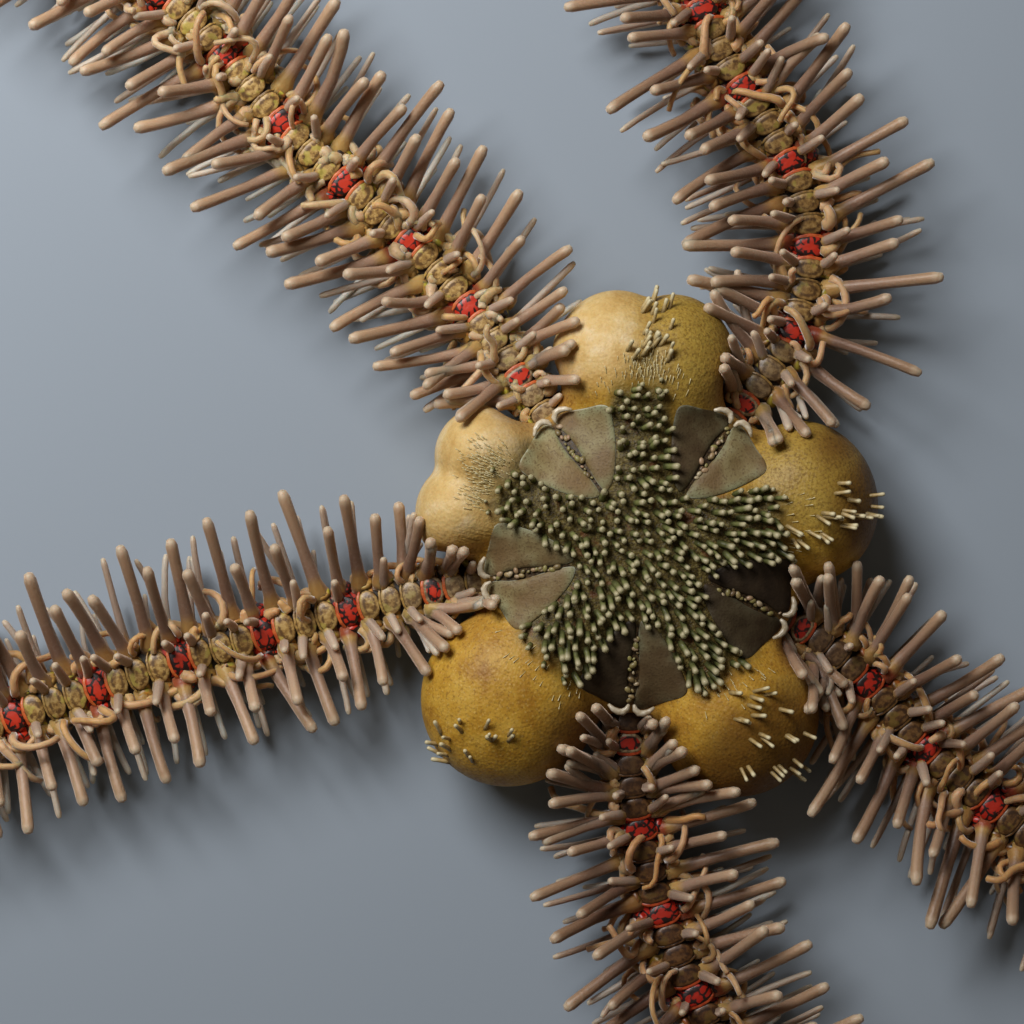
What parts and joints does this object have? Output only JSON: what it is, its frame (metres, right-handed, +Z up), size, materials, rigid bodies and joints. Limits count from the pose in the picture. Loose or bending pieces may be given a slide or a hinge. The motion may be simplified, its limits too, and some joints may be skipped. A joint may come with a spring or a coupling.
{
  "type": "brittle star",
  "caption": "Brittle star lying flat: domed disc with swollen lobes between long, bristling, gently curved arms, jaws under the mouth.",
  "frame": {"origin": "on the floor, under the middle of the whole animal's bounding box; the middle of the disc is at X 1.3 mm, Y 4.44 mm", "axes": "+Z up, out of the back of the animal; +X to the right and +Y to the top of the picture, which looks straight down"},
  "size_m": [0.132, 0.1246, 0.0053],
  "materials": {
    "disc": "matt dark green skin with grey-olive bare plates",
    "lobe": "soft satin ochre skin with fine dark stippling",
    "arm": "satin tan and brown plates banded with red, dusky blunt spines with cream tips",
    "jaw": "satin pale cream"
  },
  "bodies": {
    "root": {"disc": "disc", "lobe_top": "lobe", "lobe_left": "lobe", "lobe_low_left": "lobe", "lobe_low_right": "lobe", "lobe_right": "lobe", "jaw_top": "jaw", "jaw_left": "jaw", "jaw_low_left": "jaw", "jaw_low_right": "jaw", "jaw_right": "jaw", "arm_west_base": "arm", "arm_west_middle": "arm", "arm_west_outer": "arm", "arm_west_tip": "arm", "arm_north_west_base": "arm", "arm_north_west_middle": "arm", "arm_north_west_outer": "arm", "arm_north_west_tip": "arm", "arm_north_east_base": "arm", "arm_north_east_middle": "arm", "arm_north_east_outer": "arm", "arm_north_east_tip": "arm", "arm_east_base": "arm", "arm_east_middle": "arm", "arm_east_outer": "arm", "arm_east_tip": "arm", "arm_south_base": "arm", "arm_south_middle": "arm", "arm_south_outer": "arm", "arm_south_tip": "arm"}
  },
  "joints": []
}
